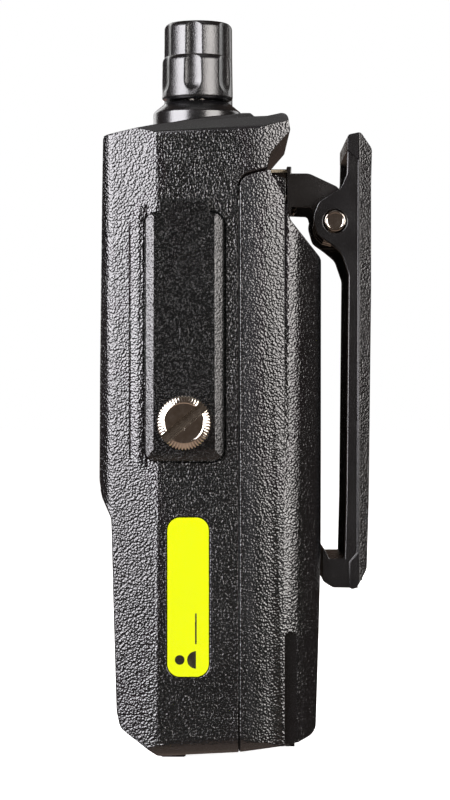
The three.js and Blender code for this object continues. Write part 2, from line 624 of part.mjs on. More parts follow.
// ---- Inside the radio ----
function addInside() {
  const chassisTop = PART_TOP - 4.6;
  const half = HALF_W - WALL - GAP;
  let chassis = alongY(box(-half, half, 7, chassisTop, 1.5), RADIO_D - 6, RADIO_D - GAP);
  const bay = (chassisTop - 7 - 8) / 3;
  for (let i = 0; i < 3; i += 1) {
    const z = 9 + i * (bay + 2);
    const pane = box(2.5 - half, half - 2.5, z, z + bay, 2);
    chassis = chassis.subtract(alongY(pane, RADIO_D - 7, RADIO_D - 2.3));
  }
  chassis = chassis.subtract(alongY(box(-9.3, 9.3, 19.7, 26.3), RADIO_D - 3, RADIO_D + 1));
  const corners = [[-1, 1], [1, 1], [-1, -1], [1, -1]];
  const middleZ = (7 + chassisTop) / 2;
  const places = corners.map(([sx, sz]) => [sx * (half - 1.6), middleZ + sz * (chassisTop - 11) / 2]);
  for (const [x, z] of places) chassis = chassis.subtract(alongY(disc(x, z, 1.35, 16), RADIO_D - 7, RADIO_D));
  add(radio, 'chassis', chassis, 'casting');
  places.forEach(([x, z], i) => {
    const screw = turnedY([
      [0, RADIO_D - 6], [1, RADIO_D - 6], [1, RADIO_D - 1.2], [1, RADIO_D - 0.4], [0, RADIO_D - 0.4],
    ], 16);
    add(radio, `chassis_screw_${i + 1}`, screw, 'steel', [x, 0, z]);
  });
  const seal = alongY(box(0.6 - half, half - 0.6, 7.6, chassisTop - 0.6, 1.5), RADIO_D - 7, RADIO_D - 6.2)
    .subtract(alongY(box(2.2 - half, half - 2.2, 9.2, chassisTop - 2.2, 1), RADIO_D - 9, RADIO_D - 5));
  add(radio, 'main_seal', seal, 'soft');
  add(radio, 'contact_block', alongY(box(-9, 9, 20, 26, 0.5), RADIO_D - 2, RADIO_D - GAP), 'brass');
  const edge = HALF_W - WALL - 3;
  const board = alongY(outline([
    [-edge + 4, 8], [edge, 8], [edge, SCREW_Z - 7], [13, SCREW_Z - 7], [13, COVER_Z - 4], [edge, COVER_Z - 4],
    [edge, PART_TOP - 4], [-edge + 4, PART_TOP - 4],
  ]), 15.8, 17.4);
  add(radio, 'main_board', board, 'board', [0, RADIO_D - 30.2, 0]);
  const can = alongY(box(-18, 10, 66, 96, 1), 12.6, 15.6)
    .subtract(alongY(box(-17.2, 9.2, 66.8, 95.2, 0.6), 13.2, 16));
  add(radio, 'rf_shield', can, 'steel', [0, RADIO_D - 30.2, 0]);
  const cloth = alongY(box(-16.5, 16.5, -13, 13, 1), WALL + 0.9, WALL + 1.2);
  add(radio, 'grille_cloth', cloth, 'soft', [0, 0, GRILLE.z]);
  const speaker = turnedY([
    [0, 3.6], [15.5, 3.6], [15.5, 4.6], [10, 7.6], [0, 7.6],
  ]);
  add(radio, 'speaker_frame', speaker, 'steel', [0, 0, GRILLE.z]);
  add(radio, 'speaker_magnet', turnedY(rod(8, 7.9, 11.8), 32), 'casting', [0, 0, GRILLE.z]);
  const capsule = turnedY(rod(3, LOWER_STEP + WALL + 0.9, LOWER_STEP + WALL + 3), 24);
  add(radio, 'microphone', capsule, 'casting', [0, 0, 42]);
  const pane = box(-WINDOW.w / 2, WINDOW.w / 2, -WINDOW.h / 2, WINDOW.h / 2, 1.8);
  add(radio, 'display_window', alongY(pane, GAP, GAP + WINDOW.t - 0.1), 'glass', [0, 0, WINDOW.z]);
  const module = alongY(box(-20, 20, -10.5, 10.5, 0.5), WALL + 0.9, WALL + 3.6);
  add(radio, 'display_module', module, 'board', [0, 0, WINDOW.z]);
}

function addLatch() {
  const { half, z0, z1, y0, y1, travel, bore, spring } = LATCH;
  const middle = (z0 + z1) / 2;
  const slide = alongX(box(y0, y1, z0, z1), -half, half)
    .add(alongX(box(y0 + 1.5, y1 - 0.5, 1.5, z0 + 0.2, 0.3), 1 - half, half - 1))
    .add(alongX(box(y1 - 0.2, RADIO_D + 1.6, z0 + 0.4, z1 - 0.4), -4, 4))
    .subtract(turnedY(rod(bore, y0 - 1, y0 + travel + 1.6), 16).translate(0, 0, middle));
  add(radio, 'battery_latch', slide, 'satin');
  const turns = 5;
  const wire = 0.15;
  const pitch = (spring - 2 * wire) / turns;
  const coil = new Helix(bore - 0.2 - wire, pitch, turns, (v, a, b, c) => v.set(a, c, b));
  add(radio, 'latch_spring', bent(coil, wire, 50, 5), 'steel', [0, y0 - travel + spring / 2, middle]);
}

// ---- Battery ----
function packSide() {
  return outline([
    [PACK_Y, 1.7],
    [BACK - 9.2, 3.05],
    [BACK - 5.3, 3.75],
    [BACK - 1.3, 5.4, 3],
    [BACK - 0.65, 24],
    [BACK - 0.1, 46],
    [BACK, PIN_Z - 17.5],
    [BACK, PIN_Z - 8.4, 2],
    [BACK - SHOULDER_D + 0.9, PIN_Z - 0.1, 4],
    [BACK - SHOULDER_D, PIN_Z + 3.9, 3],
    [RADIO_D + 6.65, PART_TOP + 1.3, 0.4],
    [PACK_Y, PART_TOP - GAP - 0.1, 2.7],
  ]);
}

function packPlan(inset) {
  const half = HALF_W - inset;
  return outline([
    [half, RADIO_D - 3], [half, FLANK_Y, 20], [half - FLANK_IN, BACK - 6, 8],
    [half - 7.5, BACK - inset, 5], [7.5 - half, BACK - inset, 5],
    [FLANK_IN - half, BACK - 6, 8], [-half, FLANK_Y, 20], [-half, RADIO_D - 3],
  ]);
}

const LID_T = 1.8;
const GROOVE = { y: BACK - 6.8, w: 2.7, top: 27.7, depth: 1.5 };
const PEDESTAL_Y = BACK - SHOULDER_D + 0.3;
const PLATE_Y = PEDESTAL_Y + GAP;
const LATCH_RECESS = [-4 - FIT, 4 + FIT];

function batteryCase() {
  let shell = alongX(packSide(), -HALF_W, HALF_W)
    .intersect(alongZ(packPlan(0), -1, CASE_H))
    .intersect(endTrim());
  const inside = outline([
    [PACK_Y - 2, 7], [BACK - 4.5, 7.5], [BACK - WALL - 0.6, 10], [BACK - WALL, 48],
    [BACK - WALL, PIN_Z - 9.6], [BACK - SHOULDER_D - WALL, PIN_Z - 0.6],
    [BACK - SHOULDER_D - WALL, PART_TOP - 4], [PACK_Y - 2, PART_TOP - 4],
  ]);
  shell = shell.subtract(alongX(inside, WALL + 1 - HALF_W, HALF_W - WALL - 1)
    .intersect(alongZ(packPlan(WALL + 1), -1, CASE_H)));
  const lidSeat = box(WALL - HALF_W, HALF_W - WALL, 6, PART_TOP - 3, 2);
  shell = shell.subtract(alongY(lidSeat, PACK_Y - 2, PACK_Y + LID_T + GAP));
  for (const side of [-1, 1]) {
    const groove = alongX(box(GROOVE.y - GROOVE.w / 2, GROOVE.y + GROOVE.w / 2, -2, GROOVE.top, 1.3), -3, 3);
    shell = shell.subtract(groove.translate(side * (HALF_W - 1 + 3 - GROOVE.depth), 0, 0));
  }
  const catchSlot = box(PACK_Y - 1, PACK_Y + 1.9, LATCH.z0 - 0.1, LATCH.z1 + 0.1);
  shell = shell.subtract(alongX(catchSlot, ...LATCH_RECESS));
  shell = shell.subtract(alongY(box(-10.5, 10.5, 12, 23, 1), BACK - 1.7, BACK + 2));
  shell = shell.add(alongX(outline([
    [BACK - 9.3, 0], [BACK - 5.4, 0], [BACK - 5.2, 4.5], [BACK - 9.5, 4.5],
  ]), -5, 5));
  const pad = outline([
    [PEDESTAL_Y - 5, PIN_Z - 1], [PEDESTAL_Y, PIN_Z + 0.9], [PEDESTAL_Y, PIN_Z + 9.6, 0.5],
    [PEDESTAL_Y - 2.2, PIN_Z + 10.4, 0.5], [PEDESTAL_Y - 5, PIN_Z + 9.4],
  ]);
  shell = shell.add(alongX(pad, -BRACKET_HALF, BRACKET_HALF));
  for (const x of [-9, 9]) {
    shell = shell.subtract(alongY(disc(x, PIN_Z + 5.6, 1.35 + GAP, 20), PEDESTAL_Y - 5, PEDESTAL_Y + 1));
  }
  return shell;
}

function addBattery() {
  add(pack, 'battery_case', batteryCase(), 'shell');
  const edge = WALL + GAP;
  const lid = box(edge - HALF_W, HALF_W - edge, 6 + GAP, PART_TOP - 3 - GAP, 1.7);
  add(pack, 'battery_lid', alongY(lid, PACK_Y, PACK_Y + LID_T), 'satin');
  const cellTop = PIN_Z - 11;
  const cellH = (cellTop - 12) / 2 - 0.5;
  const cellFront = PACK_Y + LID_T + 2 * GAP;
  ['lower', 'upper'].forEach((name, i) => {
    const z = 12 + i * (cellH + 1);
    const shape = box(11 - HALF_W, HALF_W - 11, cellFront, BACK - WALL - 1.2, 2);
    add(pack, `cell_${name}`, alongZ(shape, z, z + cellH), 'cell');
  });
  [-6.5, 0, 6.5].forEach((x, i) => {
    const contact = alongY(box(-2, 2, 13.4, 21.6, 1), BACK - 1.7 + GAP / 2, BACK - 1.1);
    add(pack, `charge_contact_${i + 1}`, contact, 'brass', [x, 0, 0]);
  });
}

// ---- Bracket and clip, drawn about the hinge pin ----
function clipBracket() {
  const plate = PLATE_Y - PIN_Y;
  const base = alongX(box(plate, plate + EAR_T, 2, 12.2), -BRACKET_HALF, BRACKET_HALF)
    .add(alongX(box(plate - 3.4, plate + EAR_T, 11.3, 12.2), -9, 9));
  const ear = alongX(outline([
    [plate, 3.4], [-5, 3.2, 0.8], [-4.3, 0.4, 1], [-4.1, -2, 2], [-1.9, -4.2, 2], [2, -4.2, 2],
    [4.2, -1.8, 2], [3.7, 3.7, 2], [0.6, 7.8, 2], [-5.6, 10.7, 3], [plate, 10.7],
  ]), 0, EAR_T);
  let bracket = base;
  for (const x of [-BRACKET_HALF, BRACKET_HALF - EAR_T]) bracket = bracket.add(ear.translate(x, 0, 0));
  bracket = bracket.subtract(turnedX(rod(PIN_R + GAP, -20, 20), 32));
  for (const x of [-9, 9]) {
    bracket = bracket.subtract(alongY(disc(x, 5.6, 1.35 + GAP, 20), plate - 1, plate + EAR_T + 1));
  }
  return bracket;
}

const PLATE_IN = 5.2;   // inner face of the clip's plate behind the pin
const CLIP_BACK = 8;    // the flat of its back, behind the pin
const CLIP_EDGE = 2.7;  // front edge of its top end

function clipOutline(inner) {
  return [
    [inner, CLIP_UP - 0.6, 0.8], [5.6, CLIP_UP, 0.8], [8.2, CLIP_UP - 3.5, 1.5], [CLIP_BACK, 8],
    [CLIP_BACK, -16], [7.45, 19.6 - CLIP_DOWN], [7.0, 4.4 - CLIP_DOWN, 3], [4.7, 0.3 - CLIP_DOWN, 1],
  ];
}

function beltClip() {
  const half = CLIP_W / 2;
  const plate = alongX(outline([
    ...clipOutline(CLIP_EDGE), [3.2, -CLIP_DOWN, 0.5], [3.2, 6 - CLIP_DOWN], [PLATE_IN - 0.3, 8 - CLIP_DOWN],
    [PLATE_IN, 0], [PLATE_IN, CLIP_UP - 6], [CLIP_EDGE, CLIP_UP - 4],
  ]), -half, half);
  const bevel = alongZ(outline([
    [-half, -9], [half, -9], [half, 5.4], [half - 2.6, 9], [2.6 - half, 9], [-half, 5.4],
  ]), -CLIP_DOWN - 1, CLIP_UP + 1);
  const flangeShape = outline([
    [CLIP_EDGE, CLIP_UP - 1, 0.5], [6, CLIP_UP - 1], [6, 2 - CLIP_DOWN], [2.5, 2 - CLIP_DOWN],
    [2.15, 7 - CLIP_DOWN], [2.5, 19.6 - CLIP_DOWN], [3, -17.3], [3, -11.6, 3], [1.4, -6.9, 3],
    [-1, -4.9, 2], [-3.8, -2.9, 2], [-4.9, 1, 3], [-3.6, 4.2, 2],
    [-1, 5.9, 2], [1.3, 7.2, 2], [CLIP_EDGE - 0.1, 10.3, 3], [CLIP_EDGE, 14.9],
  ]);
  let body = plate.intersect(bevel);
  for (const x of [0.6 - half, half - FLANGE_T]) body = body.add(alongX(flangeShape, x, x + FLANGE_T - 0.6));
  const tip = -PIN_OUT + GAP + 0.15;
  const lip = outline([
    [tip, 9.8 - CLIP_DOWN, 0.3], [tip, 1.8 - CLIP_DOWN, 0.6], [-1.6, 1.1 - CLIP_DOWN, 0.8],
    [-0.4, 0.4 - CLIP_DOWN], [5, 0.3 - CLIP_DOWN], [5, 6.7 - CLIP_DOWN], [-1.3, 6.7 - CLIP_DOWN, 0.6],
  ]);
  body = body.add(alongX(lip, 0.6 - half, half - 0.6));
  for (let i = 0; i < 5; i += 1) {
    body = body.subtract(alongX(disc(9.15, CLIP_UP - 6 - 2.4 * i, 1.5, 16), 5 - half, half - 5));
  }
  return body.subtract(turnedX(rod(PIN_R + GAP, -half - 1, half + 1), 32));
}

function torsionSpring() {
  const reach = 2 * (BRACKET_HALF - EAR_T) - 12;
  const turns = 7;
  const coil = new Helix(3.6, reach / turns, turns, (v, a, b, c) => v.set(c, -a, b));
  return bent(coil, 0.6, 84, 6);
}

function addClip() {
  add(pack, 'clip_bracket', clipBracket(), 'blackSteel', [0, PIN_Y, PIN_Z]);
  [-9, 9].forEach((x, i) => {
    const screw = turnedY([
      [0, PEDESTAL_Y - 3.4], [1.35, PEDESTAL_Y - 3.4], [1.35, PLATE_Y + EAR_T + GAP],
      [2.5, PLATE_Y + EAR_T + GAP], [2.5, PLATE_Y + EAR_T + 1.1], [1.9, PLATE_Y + EAR_T + 1.6],
      [0, PLATE_Y + EAR_T + 1.6],
    ], 24).subtract(alongY(disc(0, 0, 1, 6), PLATE_Y + EAR_T + 0.7, PLATE_Y + EAR_T + 3));
    add(pack, `bracket_screw_${i + 1}`, screw, 'steel', [x, 0, PIN_Z + 5.6]);
  });
  const half = CLIP_W / 2;
  const pin = turnedX([
    [0, -half], [PIN_R - 0.3, -half], [PIN_R, 0.3 - half],
    [PIN_R, half - 0.3], [PIN_R - 0.3, half], [0, half],
  ], 32);
  add(pack, 'hinge_pin', pin, 'steel', [0, PIN_Y, PIN_Z]);
  add(pack, 'torsion_spring', torsionSpring(), 'steel', [0, PIN_Y, PIN_Z]);
  add(clip, 'belt_clip', beltClip(), 'shell');
}

// ---- Assembly ----
add(radio, 'front_case', frontCase(), 'shell');
addControl('volume', 'volume_control', VOLUME_X, VOLUME_H);
addControl('channel', 'channel_switch', CHANNEL_X, CHANNEL_H);
addTopFittings();
addJackSide();
addButtons();
addInside();
addLatch();
addBattery();
addClip();
clip.position.set(0, PIN_Y, PIN_Z);

const whole = new THREE.Group();
whole.add(radio, pack, clip);
const bounds = new THREE.Box3().setFromObject(whole);
const middle = bounds.getCenter(new THREE.Vector3());
whole.position.set(-middle.x, -middle.y, -bounds.min.z);

const model = new THREE.Group();
model.add(whole);
export default model;
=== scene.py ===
# Looks for the portable radio: refined shells, fluted knobs, a knurled screw, a printed label,
# and procedural finishes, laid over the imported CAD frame. Metres, +Z up, front face at -Y.
import json
import math

import bmesh
import bpy
from mathutils import Matrix, Vector


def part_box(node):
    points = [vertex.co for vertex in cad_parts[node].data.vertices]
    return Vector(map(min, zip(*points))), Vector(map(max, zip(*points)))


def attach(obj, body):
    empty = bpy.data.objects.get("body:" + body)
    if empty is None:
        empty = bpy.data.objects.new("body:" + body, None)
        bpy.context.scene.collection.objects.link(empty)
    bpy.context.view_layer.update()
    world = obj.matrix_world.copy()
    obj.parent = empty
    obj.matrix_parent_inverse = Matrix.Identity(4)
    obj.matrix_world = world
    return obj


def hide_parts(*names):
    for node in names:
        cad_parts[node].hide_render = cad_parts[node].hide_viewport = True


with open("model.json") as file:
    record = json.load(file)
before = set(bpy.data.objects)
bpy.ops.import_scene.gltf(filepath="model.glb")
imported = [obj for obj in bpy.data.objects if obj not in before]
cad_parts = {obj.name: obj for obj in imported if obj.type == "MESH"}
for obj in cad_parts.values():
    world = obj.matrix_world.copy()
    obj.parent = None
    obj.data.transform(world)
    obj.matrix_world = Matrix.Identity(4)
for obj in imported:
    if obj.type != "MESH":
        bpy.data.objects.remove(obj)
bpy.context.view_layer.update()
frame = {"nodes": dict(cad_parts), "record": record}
NODES = frame["nodes"]
BODY_OF = {n: body for body, names in frame["record"]["behaviour"]["bodies"].items() for n in names}
SLOT_OF = {row["node"]: row["material_slot"] for row in frame["record"]["subparts"]}
MM = 0.001


# ---- Node helpers ----
def new_material(name, color, roughness, metallic=0.0, specular=0.5):
    mat = bpy.data.materials.new(name)
    mat.use_nodes = True
    shader = mat.node_tree.nodes["Principled BSDF"]
    shader.inputs["Base Color"].default_value = (*color, 1)
    shader.inputs["Roughness"].default_value = roughness
    shader.inputs["Metallic"].default_value = metallic
    shader.inputs["Specular IOR Level"].default_value = specular
    return mat, mat.node_tree, shader


def add_node(tree, kind, inputs=None, **settings):
    node = tree.nodes.new("ShaderNode" + kind)
    for key, value in settings.items():
        setattr(node, key, value)
    for key, value in (inputs or {}).items():
        if isinstance(value, bpy.types.NodeSocket):
            tree.links.new(value, node.inputs[key])
        else:
            node.inputs[key].default_value = value
    return node


def place_of(tree, stretch=(1, 1, 1)):
    """Object coordinates, so a pattern stays on its piece as it moves."""
    coord = add_node(tree, "TexCoord").outputs["Object"]
    return add_node(tree, "Mapping", {"Vector": coord, "Scale": stretch}).outputs["Vector"]


def noise(tree, size, detail=3.0, rough=0.55, stretch=(1, 1, 1)):
    inputs = {"Vector": place_of(tree, stretch), "Scale": 1 / size, "Detail": detail, "Roughness": rough}
    return add_node(tree, "TexNoise", inputs).outputs["Fac"]


def spread(tree, value, low, high, out_low, out_high):
    inputs = {"Value": value, "From Min": low, "From Max": high, "To Min": out_low, "To Max": out_high}
    return add_node(tree, "MapRange", inputs).outputs["Result"]


def math_node(tree, operation, a, b):
    return add_node(tree, "Math", {0: a, 1: b}, operation=operation).outputs[0]


def mixed(tree, factor, first, second):
    node = add_node(tree, "Mix", {"Factor": factor}, data_type="RGBA")
    node.inputs["A"].default_value = (*first, 1)
    node.inputs["B"].default_value = (*second, 1)
    return node.outputs["Result"]


def bumped(tree, shader, height, depth, strength=1.0):
    out = add_node(tree, "Bump", {"Height": height, "Distance": depth, "Strength": strength})
    tree.links.new(out.outputs["Normal"], shader.inputs["Normal"])


def edge_mask(tree, low, high):
    """1 on sharp convex edges, 0 on flats."""
    return spread(tree, add_node(tree, "NewGeometry").outputs["Pointiness"], low, high, 0, 1)


# ---- Finishes ----
GLOSS = 0.8            # specular level of the moulded plastics


def pebble_plastic(name, cell, depth, color=(0.0022, 0.0022, 0.0025), roughness=0.12):
    """Black moulded plastic with a pebble grain, polished a little on its edges."""
    mat, tree, shader = new_material(name, color, roughness, specular=GLOSS)
    warp = add_node(tree, "TexNoise", {"Vector": place_of(tree), "Scale": 1.1 / cell, "Detail": 1.0})
    lean = add_node(tree, "VectorMath", {0: warp.outputs["Color"], "Scale": cell * 0.55}, operation="SCALE")
    where = add_node(tree, "VectorMath", {0: place_of(tree), 1: lean.outputs["Vector"]}, operation="ADD")
    pebbles = add_node(tree, "TexVoronoi", {"Vector": where.outputs["Vector"], "Scale": 1 / cell,
                                            "Smoothness": 0.25}, feature="SMOOTH_F1")
    away = pebbles.outputs["Distance"]
    tops = spread(tree, math_node(tree, "POWER", away, 1.6), 0.0, 0.7, 1, 0)
    fine = noise(tree, cell * 0.5, 2.0)
    height = math_node(tree, "ADD", tops, math_node(tree, "MULTIPLY", fine, 0.15))
    bumped(tree, shader, height, depth)
    patches = noise(tree, 0.012, 3.0)
    rough = math_node(tree, "ADD", spread(tree, patches, 0.3, 0.7, roughness - 0.03, roughness + 0.04),
                      spread(tree, tops, 0, 1, 0.1, 0))
    tree.links.new(rough, shader.inputs["Roughness"])
    worn = edge_mask(tree, 0.58, 0.7)
    tree.links.new(mixed(tree, worn, color, tuple(3 * c for c in color)), shader.inputs["Base Color"])
    return mat


def satin_plastic(name, color=(0.003, 0.003, 0.0033), roughness=0.24, depth=0.05 * MM, cell=0.3 * MM):
    mat, tree, shader = new_material(name, color, roughness, specular=GLOSS)
    bumped(tree, shader, noise(tree, cell, 3.0, 0.6), depth)
    tree.links.new(spread(tree, noise(tree, 0.006, 4.0), 0.3, 0.7, roughness - 0.03, roughness + 0.04),
                   shader.inputs["Roughness"])
    worn = edge_mask(tree, 0.58, 0.7)
    tree.links.new(mixed(tree, worn, color, tuple(3 * c for c in color)), shader.inputs["Base Color"])
    return mat


def soft_rubber(name, color=(0.0018, 0.0018, 0.002), roughness=0.14):
    mat, tree, shader = new_material(name, color, roughness, specular=0.6)
    grain = noise(tree, 0.42 * MM, 2.0, 0.5)
    specks = spread(tree, noise(tree, 0.3 * MM, 1.0, 0.5), 0.6, 0.75, 0, 1)
    bumped(tree, shader, math_node(tree, "ADD", grain, specks), 0.09 * MM)
    tree.links.new(spread(tree, noise(tree, 0.005, 4.0), 0.3, 0.7, roughness - 0.02, roughness + 0.03),
                   shader.inputs["Roughness"])
    dust = spread(tree, noise(tree, 0.0011, 5.0, 0.7), 0.66, 0.8, 0, 0.5)
    tree.links.new(mixed(tree, dust, color, (0.012, 0.012, 0.012)), shader.inputs["Base Color"])
    return mat


def plated_metal(name, color, roughness, stretch=(1, 1, 1), depth=0.004 * MM):
    mat, tree, shader = new_material(name, color, roughness, metallic=1.0)
    bumped(tree, shader, noise(tree, 0.35 * MM, 4.0, 0.6, stretch), depth)
    tree.links.new(spread(tree, noise(tree, 0.0012, 4.0), 0.3, 0.7, roughness - 0.03, roughness + 0.04),
                   shader.inputs["Roughness"])
    tint = spread(tree, noise(tree, 0.003, 4.0), 0.4, 0.75, 0, 0.4)
    tree.links.new(mixed(tree, tint, color, tuple(0.85 * c for c in color)), shader.inputs["Base Color"])
    return mat


def label_film(name):
    color = (0.29, 0.325, 0.001)
    mat, tree, shader = new_material(name, color, 0.2, specular=0.2)
    bumped(tree, shader, noise(tree, 0.5 * MM, 3.0), 0.01 * MM)
    tree.links.new(spread(tree, noise(tree, 0.004, 3.0), 0.3, 0.7, 0.18, 0.22), shader.inputs["Roughness"])
    faded = spread(tree, noise(tree, 0.01, 3.0), 0.3, 0.8, 0, 0.3)
    tree.links.new(mixed(tree, faded, color, (0.27, 0.305, 0.0012)), shader.inputs["Base Color"])
    return mat


def plain_with_mottle(name, color, roughness, metallic=0.0):
    mat, tree, shader = new_material(name, color, roughness, metallic)
    tone = spread(tree, noise(tree, 0.003, 4.0), 0.35, 0.7, 0, 1)
    tree.links.new(mixed(tree, tone, color, tuple(0.8 * c for c in color)), shader.inputs["Base Color"])
    tree.links.new(spread(tree, noise(tree, 0.001, 4.0), 0.3, 0.7, roughness - 0.05, roughness + 0.08),
                   shader.inputs["Roughness"])
    bumped(tree, shader, noise(tree, 0.3 * MM, 3.0), 0.01 * MM)
    return mat


MATERIALS = {
    "shell_plastic": pebble_plastic("pebble_black", 0.5 * MM, 0.078 * MM),
    "satin_plastic": satin_plastic("satin_black"),
    "soft_rubber": soft_rubber("rubber_black"),
    "nickel": plated_metal("nickel_plate", (0.62, 0.57, 0.50), 0.13, depth=0.0008 * MM),
    "steel": plated_metal("stainless", (0.50, 0.46, 0.41), 0.15, depth=0.001 * MM),
    "black_steel": satin_plastic("black_oxide", (0.004, 0.0034, 0.0032), 0.26, depth=0.01 * MM, cell=0.5 * MM),
    "brass": plated_metal("brass", (0.66, 0.47, 0.20), 0.28),
    "casting": plain_with_mottle("die_cast", (0.42, 0.43, 0.44), 0.5, 1.0),
    "label_film": label_film("fluorescent_film"),
    "board": plain_with_mottle("solder_mask", (0.02, 0.09, 0.04), 0.4),
    "window": plain_with_mottle("dark_window", (0.010, 0.014, 0.018), 0.12),
    "orange_plastic": plain_with_mottle("signal_orange", (0.72, 0.11, 0.015), 0.42),
    "cell_wrap": plain_with_mottle("blue_sleeve", (0.03, 0.09, 0.2), 0.35),
}
SMOOTH_SHELL = satin_plastic("smooth_shell", (0.003, 0.003, 0.0033), 0.22, depth=0.02 * MM, cell=0.4 * MM)
CLIP_GRAIN = pebble_plastic("clip_grain", 0.42 * MM, 0.055 * MM, roughness=0.17)
DARK_SMOOTH = satin_plastic("dark_smooth", (0.0025, 0.0022, 0.0024), 0.2, depth=0.01 * MM)
CUT_EDGE = plated_metal("cut_edge", (0.62, 0.54, 0.40), 0.4)
INK = satin_plastic("ink", (0.006, 0.005, 0.002), 0.26, depth=0.002 * MM)
# Painted shade: a darker, browner nickel for the faces inside the screw's slot, where shade falls.
SLOT_SHADE = plated_metal("slot_painted_shade", (0.30, 0.26, 0.21), 0.24)


# ---- Mesh helpers ----
def piece(name, mesh, body, slot, stands_for=()):
    ob = bpy.data.objects.new(name, mesh)
    bpy.context.scene.collection.objects.link(ob)
    if not mesh.materials:
        mesh.materials.append(MATERIALS[slot])
    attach(ob, body)
    if stands_for:
        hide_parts(*stands_for)
    return ob


def shade(mesh, angle=35):
    for poly in mesh.polygons:
        poly.use_smooth = True
    mesh.set_sharp_from_angle(angle=math.radians(angle))


def cleaned(node):
    """A CAD node's mesh with its doubled vertices joined and its flat faces made whole."""
    bm = bmesh.new()
    bm.from_mesh(NODES[node].data)
    bmesh.ops.remove_doubles(bm, verts=bm.verts, dist=1e-6)
    bmesh.ops.dissolve_limit(bm, angle_limit=math.radians(0.8), verts=bm.verts, edges=bm.edges)
    mesh = bpy.data.meshes.new(node + "_mesh")
    bm.to_mesh(mesh)
    bm.free()
    return mesh


def room_beside(edge, sharp):
    """The widest rounding an edge has room for before it meets its neighbours'."""
    along = (edge.verts[1].co - edge.verts[0].co).normalized()
    room = 1.0
    turns = 0.0
    for vert in edge.verts:
        steepest = 0.0
        for other in vert.link_edges:
            if other is edge or not set(other.link_faces) & set(edge.link_faces):
                continue
            away = (other.other_vert(vert).co - vert.co).normalized()
            lean = along.cross(away).length
            if lean > 0.3:
                room = min(room, 0.4 * lean * other.calc_length())
            if other in sharp:
                ahead = (vert.co - edge.other_vert(vert).co).normalized()
                steepest = max(steepest, math.tan(min(ahead.angle(away, 0), 2.6) / 2))
        turns += steepest
    return min(room, 0.7 * edge.calc_length() / max(turns, 1e-3))


def weigh_edges(mesh, width, angle):
    """Each sharp edge's share of the full rounding, so that it stops short of its neighbours."""
    bm = bmesh.new()
    bm.from_mesh(mesh)
    share = bm.edges.layers.float.new("bevel_weight_edge")
    sharp = {e for e in bm.edges if len(e.link_faces) == 2 and e.calc_face_angle(0) > math.radians(angle)}
    room = {edge: room_beside(edge, sharp) for edge in sharp}
    for _ in range(3):
        for edge in list(room):
            beside = [room[e] for v in edge.verts for e in v.link_edges if e in room and e is not edge]
            room[edge] = min([room[edge], *(1.4 * r for r in beside)])
    for edge, space in room.items():
        weight = min(1.0, space / width)
        edge[share] = weight if weight > 0.08 else 0
    bm.to_mesh(mesh)
    bm.free()


KEEP_IN = 0.9998       # a few micrometres, so that rounded corners stay inside the CAD outline


def refined(node, width, segments=3, angle=28, zones=()):
    """The CAD node with moulded, rounded edges. zones are (finish, test of a face's middle and normal)."""
    ob = piece(node + "_moulded", cleaned(node), BODY_OF[node], SLOT_OF[node], [node])
    for finish, test in zones:
        ob.data.materials.append(finish)
        index = len(ob.data.materials) - 1
        for poly in ob.data.polygons:
            if test(poly.center / MM, poly.normal):
                poly.material_index = index
    weigh_edges(ob.data, width, angle)
    ob.data.transform(Matrix.Scale(KEEP_IN, 4, (0, 1, 0)))
    bevel = ob.modifiers.new("rounded", "BEVEL")
    bevel.width = width
    bevel.segments = segments
    bevel.limit_method = "WEIGHT"
    bevel.use_clamp_overlap = False
    shade(ob.data, 50)
    normals = ob.modifiers.new("normals", "WEIGHTED_NORMAL")
    normals.keep_sharp = True
    return ob


def turned(name, rings, shape=lambda radius, height, angle: radius, around=180):
    """A closed body turned round Z from rings of (height, radius), shaped by shape()."""
    bm = bmesh.new()
    rows = []
    for height, radius in rings:
        row = []
        for k in range(around):
            angle = 2 * math.pi * k / around
            r = shape(radius, height, angle)
            row.append(bm.verts.new((r * math.cos(angle), r * math.sin(angle), height)))
        rows.append(row)
    for low, high in zip(rows, rows[1:]):
        for k in range(around):
            after = (k + 1) % around
            bm.faces.new((low[k], low[after], high[after], high[k]))
    for row, height in ((rows[0], rings[0][0]), (rows[-1], rings[-1][0])):
        hub = bm.verts.new((0, 0, height))
        for k in range(around):
            bm.faces.new((row[k], row[(k + 1) % around], hub))
    bmesh.ops.recalc_face_normals(bm, faces=bm.faces)
    bm.transform(Matrix.Scale(MM, 4))
    mesh = bpy.data.meshes.new(name)
    bm.to_mesh(mesh)
    bm.free()
    return mesh


def rounded_rings(corners, steps=6):
    """Rings of (height, radius) from corners of (height, radius, round)."""
    rings = []
    for i, (h, r, fillet) in enumerate(corners):
        here = Vector((h, r))
        if fillet == 0 or i in (0, len(corners) - 1):
            rings.append((h, r))
            continue
        before = Vector(corners[i - 1][:2]) - here
        after = Vector(corners[i + 1][:2]) - here
        start = here + before.normalized() * min(fillet, before.length / 2)
        end = here + after.normalized() * min(fillet, after.length / 2)
        for k in range(steps + 1):
            t = k / steps
            point = start * (1 - t) ** 2 + here * (2 * t * (1 - t)) + end * t ** 2
            rings.append((point.x, point.y))
    return rings


def filled(corners, low, high, name, materials=()):
    """A closed body from outlines drawn in (Y, Z), each from X low to high."""
    bm = bmesh.new()
    for outline in corners:
        base = [bm.verts.new((low, y, z)) for y, z in outline]
        top = [bm.verts.new((high, y, z)) for y, z in outline]
        bm.faces.new(base)
        bm.faces.new(top)
        for k in range(len(base)):
            after = (k + 1) % len(base)
            bm.faces.new((base[k], base[after], top[after], top[k]))
    bmesh.ops.recalc_face_normals(bm, faces=bm.faces)
    bm.transform(Matrix.Scale(MM, 4))
    mesh = bpy.data.meshes.new(name)
    bm.to_mesh(mesh)
    bm.free()
    for mat in materials:
        mesh.materials.append(mat)
    return mesh


